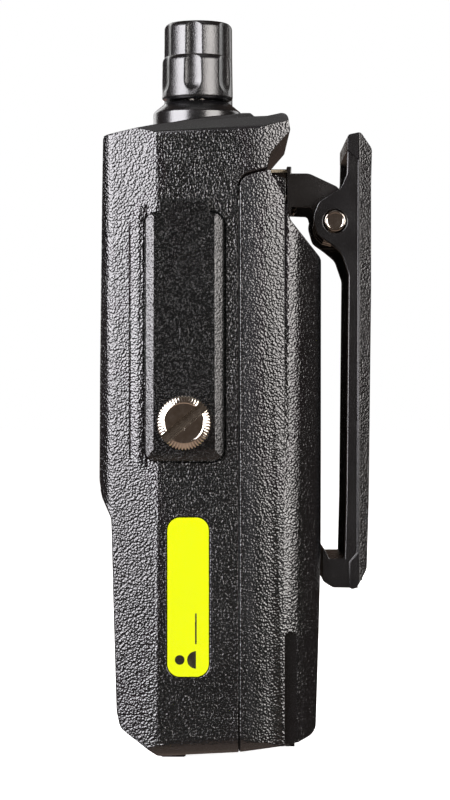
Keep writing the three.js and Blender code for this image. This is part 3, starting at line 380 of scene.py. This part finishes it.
def joined(name, meshes):
    """One mesh from several, each with its own material kept."""
    bm = bmesh.new()
    out = bpy.data.meshes.new(name)
    for index, mesh in enumerate(meshes):
        before = len(bm.faces)
        bm.from_mesh(mesh)
        bm.faces.ensure_lookup_table()
        for face in bm.faces[before:]:
            face.material_index = index
        out.materials.append(mesh.materials[0])
    bm.to_mesh(out)
    bm.free()
    return out


def carved(mesh, cutters):
    """The mesh with cutter meshes taken out of it."""
    ob = bpy.data.objects.new("carving", mesh)
    bpy.context.scene.collection.objects.link(ob)
    tools = []
    for cutter in cutters:
        tool = bpy.data.objects.new("tool", cutter)
        bpy.context.scene.collection.objects.link(tool)
        cut = ob.modifiers.new("cut", "BOOLEAN")
        cut.object = tool
        cut.operation = "DIFFERENCE"
        cut.solver = "MANIFOLD"
        tools.append(tool)
    bpy.context.view_layer.update()
    solved = bpy.data.meshes.new_from_object(ob.evaluated_get(bpy.context.evaluated_depsgraph_get()))
    for extra in [ob, *tools]:
        bpy.data.objects.remove(extra)
    solved.materials.clear()
    return solved


def put(mesh, place, turn=None):
    if turn is not None:
        mesh.transform(turn)
    mesh.transform(Matrix.Translation(place))
    return mesh


for name, ob in NODES.items():
    ob.data.materials.clear()
    ob.data.materials.append(MATERIALS[SLOT_OF[name]])


# ---- Shells ----
def middle_of(node):
    low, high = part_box(node)
    return (low + high) / 2


CASE_LOW, CASE_HIGH = (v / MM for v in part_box("front_case"))
PACK_LOW, PACK_HIGH = (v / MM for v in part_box("battery_case"))
CLIP_LOW, CLIP_HIGH = (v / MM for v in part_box("belt_clip"))
SIDE = 27.1
TOP_Z = 130.5
GROOVE_TOP = 28.2


def is_top(middle, normal):
    return (middle.z > TOP_Z and normal.z > 0.3) or middle.z > 138.6


def is_under(middle, normal):
    return normal.z < -0.35 and middle.z < 12


def in_groove(middle, normal):
    inside = 8.8 < middle.y < 15.0 and middle.z < GROOVE_TOP
    return inside and 25.0 < abs(middle.x + 1.9) < 28.6


def is_clip_side(middle, normal):
    return abs(normal.x) > 0.9 or normal.y < -0.2


refined("front_case", 0.4 * MM, zones=[(SMOOTH_SHELL, is_top), (SMOOTH_SHELL, is_under)])
refined("battery_case", 0.45 * MM, zones=[(SMOOTH_SHELL, is_under), (DARK_SMOOTH, in_groove)])
refined("belt_clip", 0.2 * MM, zones=[(SMOOTH_SHELL, is_clip_side), (CLIP_GRAIN, lambda m, n: not is_clip_side(m, n))])
refined("jack_cover", 0.3 * MM)
refined("clip_bracket", 0.16 * MM, 2, zones=[(CUT_EDGE, lambda m, n: abs(n.x) > 0.9 and m.y < 12.2)])
for node, width in (("ptt_button", 0.5), ("side_button_upper", 0.35), ("side_button_lower", 0.35),
                    ("emergency_button", 0.3), ("battery_latch", 0.2), ("display_window", 0.25),
                    ("function_key_1", 0.35), ("function_key_2", 0.35), ("function_key_3", 0.35),
                    ("function_key_4", 0.35), ("socket_ring", 0.12), ("antenna_socket", 0.12),
                    ("battery_lid", 0.3), ("bracket_screw_1", 0.15), ("bracket_screw_2", 0.15)):
    refined(node, width * MM)


# ---- Knobs ----
KNOB_R = 7.8
FLUTE_R = 4.45
FLUTE_OUT = 11.552     # from the knob's axis to a flute's own axis
FLUTE_END = 4.15       # height where a flute's rounded end begins
KNOB_TURN = -7.0
FLUTES = 6


def flute_cut(radius, height, angle):
    """The radius left where a flute passes, blended softly into the round."""
    down = max(FLUTE_END - height, 0)
    if down >= FLUTE_R:
        return radius
    reach = math.sqrt(FLUTE_R ** 2 - down ** 2)
    step = 2 * math.pi / FLUTES
    off = (angle - math.radians(KNOB_TURN) + step / 2) % step - step / 2
    side = FLUTE_OUT * math.sin(off)
    if abs(side) >= reach:
        return radius
    wall = FLUTE_OUT * math.cos(off) - math.sqrt(reach ** 2 - side ** 2)
    soft = 0.16
    mix = max(soft - abs(radius - wall), 0) / soft
    return min(radius, wall) - mix * mix * soft / 4


def knob(name, tall, cap_round):
    outer = rounded_rings([
        (tall - 2.4, 3.3, 0), (0, 3.3, 0), (0, 6.2, 0), (0.02, 7.0, 0.3), (0.55, KNOB_R, 0.35),
        (1.9, KNOB_R, 0), (tall - cap_round, KNOB_R - 0.1, 0),
    ])
    rings = outer[:-1]
    low, high = rings[-1][0], tall - cap_round
    count = max(int((high - low) / 0.28), 4)
    rings += [(low + (high - low) * k / count, KNOB_R - 0.1 * k / count) for k in range(1, count + 1)]
    for k in range(1, 13):
        bend = math.pi / 2 * k / 12
        rings.append((high + cap_round * math.sin(bend), KNOB_R - 0.1 - cap_round * (1 - math.cos(bend))))
    rings.append((tall, 3.0))
    mesh = turned(name, rings, lambda r, h, a: flute_cut(r, h, a) if h > 0.3 and r > 4 else r, 240)
    middle = middle_of(name)
    low_corner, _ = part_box(name)
    put(mesh, (middle.x, middle.y, low_corner.z))
    shade(mesh, 50)
    piece(name + "_fluted", mesh, BODY_OF[name], SLOT_OF[name], [name])


def tall_of(node):
    low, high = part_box(node)
    return (high.z - low.z) / MM


knob("volume_knob", tall_of("volume_knob"), 1.5)
knob("channel_knob", tall_of("channel_knob"), 1.5)


# ---- Thumb screw and hinge pin, turned round X ----
TO_X = Matrix.Rotation(math.radians(90), 4, "Y")
SERRATIONS = 50
SCREW_R = 5.85
HEAD_T = 2.9
SLOT_W = 2.2
SLOT_TILT = math.radians(-50)


def serrated(radius, height, angle):
    depth = 0.34 * max(0.0, min(1.0, (radius - 4.9) / 0.8))
    return radius - depth * (1 - abs(math.sin(SERRATIONS * angle / 2)))


def thumb_screw():
    low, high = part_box("cover_screw")
    rings = rounded_rings([
        (HEAD_T - (high.x - low.x) / MM, 1.5, 0), (0, 1.5, 0), (0, SCREW_R - 0.3, 0.1), (0.3, SCREW_R, 0.1),
        (HEAD_T - 0.75, SCREW_R, 0.1), (HEAD_T - 0.5, SCREW_R - 0.3, 0.08), (HEAD_T - 0.04, 4.42, 0.06),
        (HEAD_T, 4.3, 0.03), (HEAD_T - 0.06, 4.22, 0.03), (HEAD_T - 0.12, 4.1, 0.05), (HEAD_T - 0.12, 3.0, 0),
    ], 4)
    head = turned("thumb_screw", rings, serrated, SERRATIONS * 8)
    half = SLOT_W / 2
    slot = filled([[(-half, -9), (half, -9), (half, 9), (-half, 9)]], HEAD_T - 1.3, HEAD_T + 1, "slot")
    slot.transform(Matrix.Rotation(SLOT_TILT, 4, "X"))
    head.transform(TO_X)
    mesh = carved(head, [slot])
    middle = middle_of("cover_screw")
    mesh.materials.append(MATERIALS["nickel"])
    mesh.materials.append(SLOT_SHADE)
    across = Vector((0, math.cos(SLOT_TILT), math.sin(SLOT_TILT)))
    # Faces inside the slot take the darker metal: painted shade in the slot's recess.
    for poly in mesh.polygons:
        inside = abs(poly.center.dot(across)) < SLOT_W / 2 * MM + 1e-5
        poly.material_index = int(inside and poly.center.x < (HEAD_T - 0.2) * MM and poly.center.x > 1.2 * MM)
    put(mesh, (high.x - HEAD_T * MM, middle.y, middle.z))
    shade(mesh, 30)
    screw = piece("thumb_screw", mesh, BODY_OF["cover_screw"], "nickel", ["cover_screw"])
    soften = screw.modifiers.new("rounded", "BEVEL")
    soften.width = 0.09 * MM
    soften.segments = 2
    soften.angle_limit = math.radians(62)


def hinge_pin():
    low, high = (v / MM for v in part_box("hinge_pin"))
    half = (high.x - low.x) / 2
    radius = (high.z - low.z) / 2
    rings = rounded_rings([
        (-half, 1.0, 0), (-half, radius, 0.3), (half, radius, 0.3), (half, radius - 0.45, 0.1),
        (half - 0.08, radius - 0.6, 0.05), (half - 0.06, 0.8, 0),
    ], 5)
    mesh = put(turned("pin", rings, around=96), middle_of("hinge_pin"), TO_X)
    shade(mesh, 30)
    piece("hinge_pin_turned", mesh, BODY_OF["hinge_pin"], "steel", ["hinge_pin"])


thumb_screw()
hinge_pin()


# ---- Raised marks on the cover: a speaker and a microphone ----
def ribbon(path, width, closed=False):
    """The outline of a line of that width along a path of (Y, Z)."""
    points = [Vector(p) for p in path]
    left, right = [], []
    for i, here in enumerate(points):
        before = points[i - 1] if i or closed else here
        after = points[(i + 1) % len(points)] if i < len(points) - 1 or closed else here
        along = (after - before).normalized()
        side = Vector((-along.y, along.x)) * width / 2
        left.append(here + side)
        right.append(here - side)
    return [tuple(p) for p in left + right[::-1]]


def arc(a, b, radius, start, end, steps=14):
    span = [math.radians(start + (end - start) * k / steps) for k in range(steps + 1)]
    return [(a + radius * math.cos(t), b + radius * math.sin(t)) for t in span]


def moved(outlines, y, z):
    return [[(a + y, b + z) for a, b in outline] for outline in outlines]


def cover_marks():
    line = 0.42
    speaker = [
        [(-0.9, -2.0), (0.9, -2.0), (0.9, -1.0), (2.0, 0.1), (-2.0, 0.1), (-0.9, -1.0)],
        ribbon(arc(0, -0.9, 2.0, 48, 132), line),
        ribbon(arc(0, -0.9, 3.1, 48, 132), line),
    ]
    microphone = [
        arc(0, 1.1, 1.0, 0, 180) + arc(0, -0.9, 1.0, 180, 360),
        ribbon(arc(0, -0.7, 1.95, 180, 360), line),
        ribbon([(0, -2.6), (0, -3.9)], line),
        ribbon([(-1.4, -4.0), (1.4, -4.0)], line),
    ]
    middle = middle_of("jack_cover") / MM
    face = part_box("jack_cover")[1].x / MM
    marks = moved(speaker, middle.y, 107.0) + moved(microphone, middle.y, 91.6)
    mesh = filled(marks, face - 0.3, face + 0.22, "cover_marks")
    shade(mesh, 30)
    mark = piece("cover_marks", mesh, "cover", "soft_rubber")
    soften = mark.modifiers.new("rounded", "BEVEL")
    soften.width = 0.09 * MM
    soften.segments = 2


cover_marks()


# ---- Label ----
def rounded_box(y0, y1, z0, z1, radius, steps=10):
    outline = []
    for y, z, start in ((y1 - radius, z1 - radius, 0), (y0 + radius, z1 - radius, 90),
                        (y0 + radius, z0 + radius, 180), (y1 - radius, z0 + radius, 270)):
        outline += arc(y, z, radius, start, start + 90, steps)
    return outline


def label():
    low, high = (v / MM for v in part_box("owner_label"))
    film = filled([rounded_box(low.y, high.y, low.z, high.z, 2.7)], low.x, high.x, "film",
                  [MATERIALS["label_film"]])
    middle = (low.y + high.y) / 2
    person = [
        arc(middle, low.z + 5.4, 1.05, 0, 360, 24)[:-1],
        arc(middle, low.z + 1.9, 1.9, 0, 180, 18),
    ]
    person = [[(middle - (b - low.z - 3.6), low.z + 3.6 + (a - middle)) for a, b in shape] for shape in person]
    rules = [
        [(middle + 1.5, low.z + 7), (middle + 1.5, low.z + 13.6), (middle + 1.85, low.z + 13.6), (middle + 1.85, low.z + 7)],
    ]
    edge = [rounded_box(low.y + 0.02, high.y - 0.02, low.z + 0.02, high.z - 0.02, 2.68)]
    ink = filled(person + rules, high.x - 0.05, high.x + 0.012, "print", [INK])
    mesh = joined("write_on_label", [film, ink])
    piece("write_on_label", mesh, BODY_OF["owner_label"], "label_film", ["owner_label"])


label()


# ---- A dark lip in the seam under the battery: a dark sheet that stands in for the shade in the gap ----
def seam_shade_lip():
    # Painted shade: dark lips fill the open seam, so the gap reads dark as shade would instead of showing the
    # backdrop.
    lips = [filled([[(0.43, 2.0), (1.6, 2.4), (1.6, 6.4), (0.43, 6.4)]], x0, x1, "lip") for x0, x1 in ((4, 25.7), (-29.4, -8))]
    for mesh in lips:
        mesh.materials.append(DARK_SMOOTH)
    mesh = joined("seam_shade_lip", lips)
    piece("seam_shade_lip", mesh, BODY_OF["battery_case"], "shell_plastic")


seam_shade_lip()


# ---- Stage, lights and camera ----
def stage_floor():
    bm = bmesh.new()
    bmesh.ops.create_grid(bm, x_segments=2, y_segments=2, size=6)
    mesh = bpy.data.meshes.new("floor")
    bm.to_mesh(mesh)
    bm.free()
    floor = bpy.data.objects.new("floor", mesh)
    bpy.context.scene.collection.objects.link(floor)
    mat, _, shader = new_material("floor_paper", (0.9, 0.9, 0.9), 0.8, specular=0.1)
    shader.inputs["Emission Color"].default_value = (1, 1, 1, 1)
    shader.inputs["Emission Strength"].default_value = 0.97
    mesh.materials.append(mat)
    floor.visible_glossy = False


def soft_light(name, place, target, size, power, color=(1, 1, 1)):
    data = bpy.data.lights.new(name, "AREA")
    data.shape = "RECTANGLE"
    data.size, data.size_y = size
    data.energy = power
    data.color = color
    lamp = bpy.data.objects.new(name, data)
    bpy.context.scene.collection.objects.link(lamp)
    lamp.location = place
    lamp.rotation_euler = (Vector(target) - Vector(place)).to_track_quat("-Z", "Y").to_euler()


def world_light(seen, given, tint):
    world = bpy.data.worlds.new("studio")
    bpy.context.scene.world = world
    world.use_nodes = True
    tree = world.node_tree
    tree.nodes.clear()
    path = tree.nodes.new("ShaderNodeLightPath")
    shown = tree.nodes.new("ShaderNodeBackground")
    shown.inputs["Color"].default_value = (1, 1, 1, 1)
    shown.inputs["Strength"].default_value = seen
    lit = tree.nodes.new("ShaderNodeBackground")
    lit.inputs["Color"].default_value = (*tint, 1)
    upward = add_node(tree, "SeparateXYZ", {0: add_node(tree, "TexCoord").outputs["Generated"]}).outputs["Z"]
    tree.links.new(spread(tree, upward, -0.8, -0.4, 0.5, given), lit.inputs["Strength"])
    mix = tree.nodes.new("ShaderNodeMixShader")
    out = tree.nodes.new("ShaderNodeOutputWorld")
    tree.links.new(path.outputs["Is Camera Ray"], mix.inputs[0])
    tree.links.new(lit.outputs[0], mix.inputs[1])
    tree.links.new(shown.outputs[0], mix.inputs[2])
    tree.links.new(mix.outputs[0], out.inputs["Surface"])


# The camera looks along -X, level, at about half the radio's height.
FOCAL_PX = 2600
FRAME_H_PX = 800
CAMERA_X = 0.5861
CAMERA_Y = -0.0025
CAMERA_Z = 0.0777


def set_camera():
    data = bpy.data.cameras.new("camera")
    data.sensor_fit = "VERTICAL"
    data.sensor_height = 24
    data.lens = FOCAL_PX / FRAME_H_PX * data.sensor_height
    camera = bpy.data.objects.new("camera", data)
    bpy.context.scene.collection.objects.link(camera)
    camera.location = (CAMERA_X, CAMERA_Y, CAMERA_Z)
    camera.rotation_euler = (math.radians(90), 0, math.radians(90))
    bpy.context.scene.camera = camera


stage_floor()
world_light(1.0, 0.07, (1.0, 0.74, 0.6))
MIDDLE = (0, 0, 0.075)
soft_light("front_box", (0.655, -0.78, 0.38), MIDDLE, (0.9, 0.76), 29.0, (0.98, 0.955, 1.0))
soft_light("back_box", (0.76, 0.68, 0.34), MIDDLE, (0.7, 0.66), 14.0, (1.0, 0.955, 0.93))
soft_light("top_box", (0.1, 0.0, 1.2), MIDDLE, (0.6, 0.6), 0.7)
soft_light("far_front_box", (-0.85, -0.5, 0.42), MIDDLE, (0.6, 0.6), 2.5)
soft_light("far_back_box", (-0.7, 0.8, 0.45), MIDDLE, (0.6, 0.6), 2.5)
set_camera()
bpy.context.scene.view_settings.view_transform = "Standard"

bpy.context.view_layer.update()
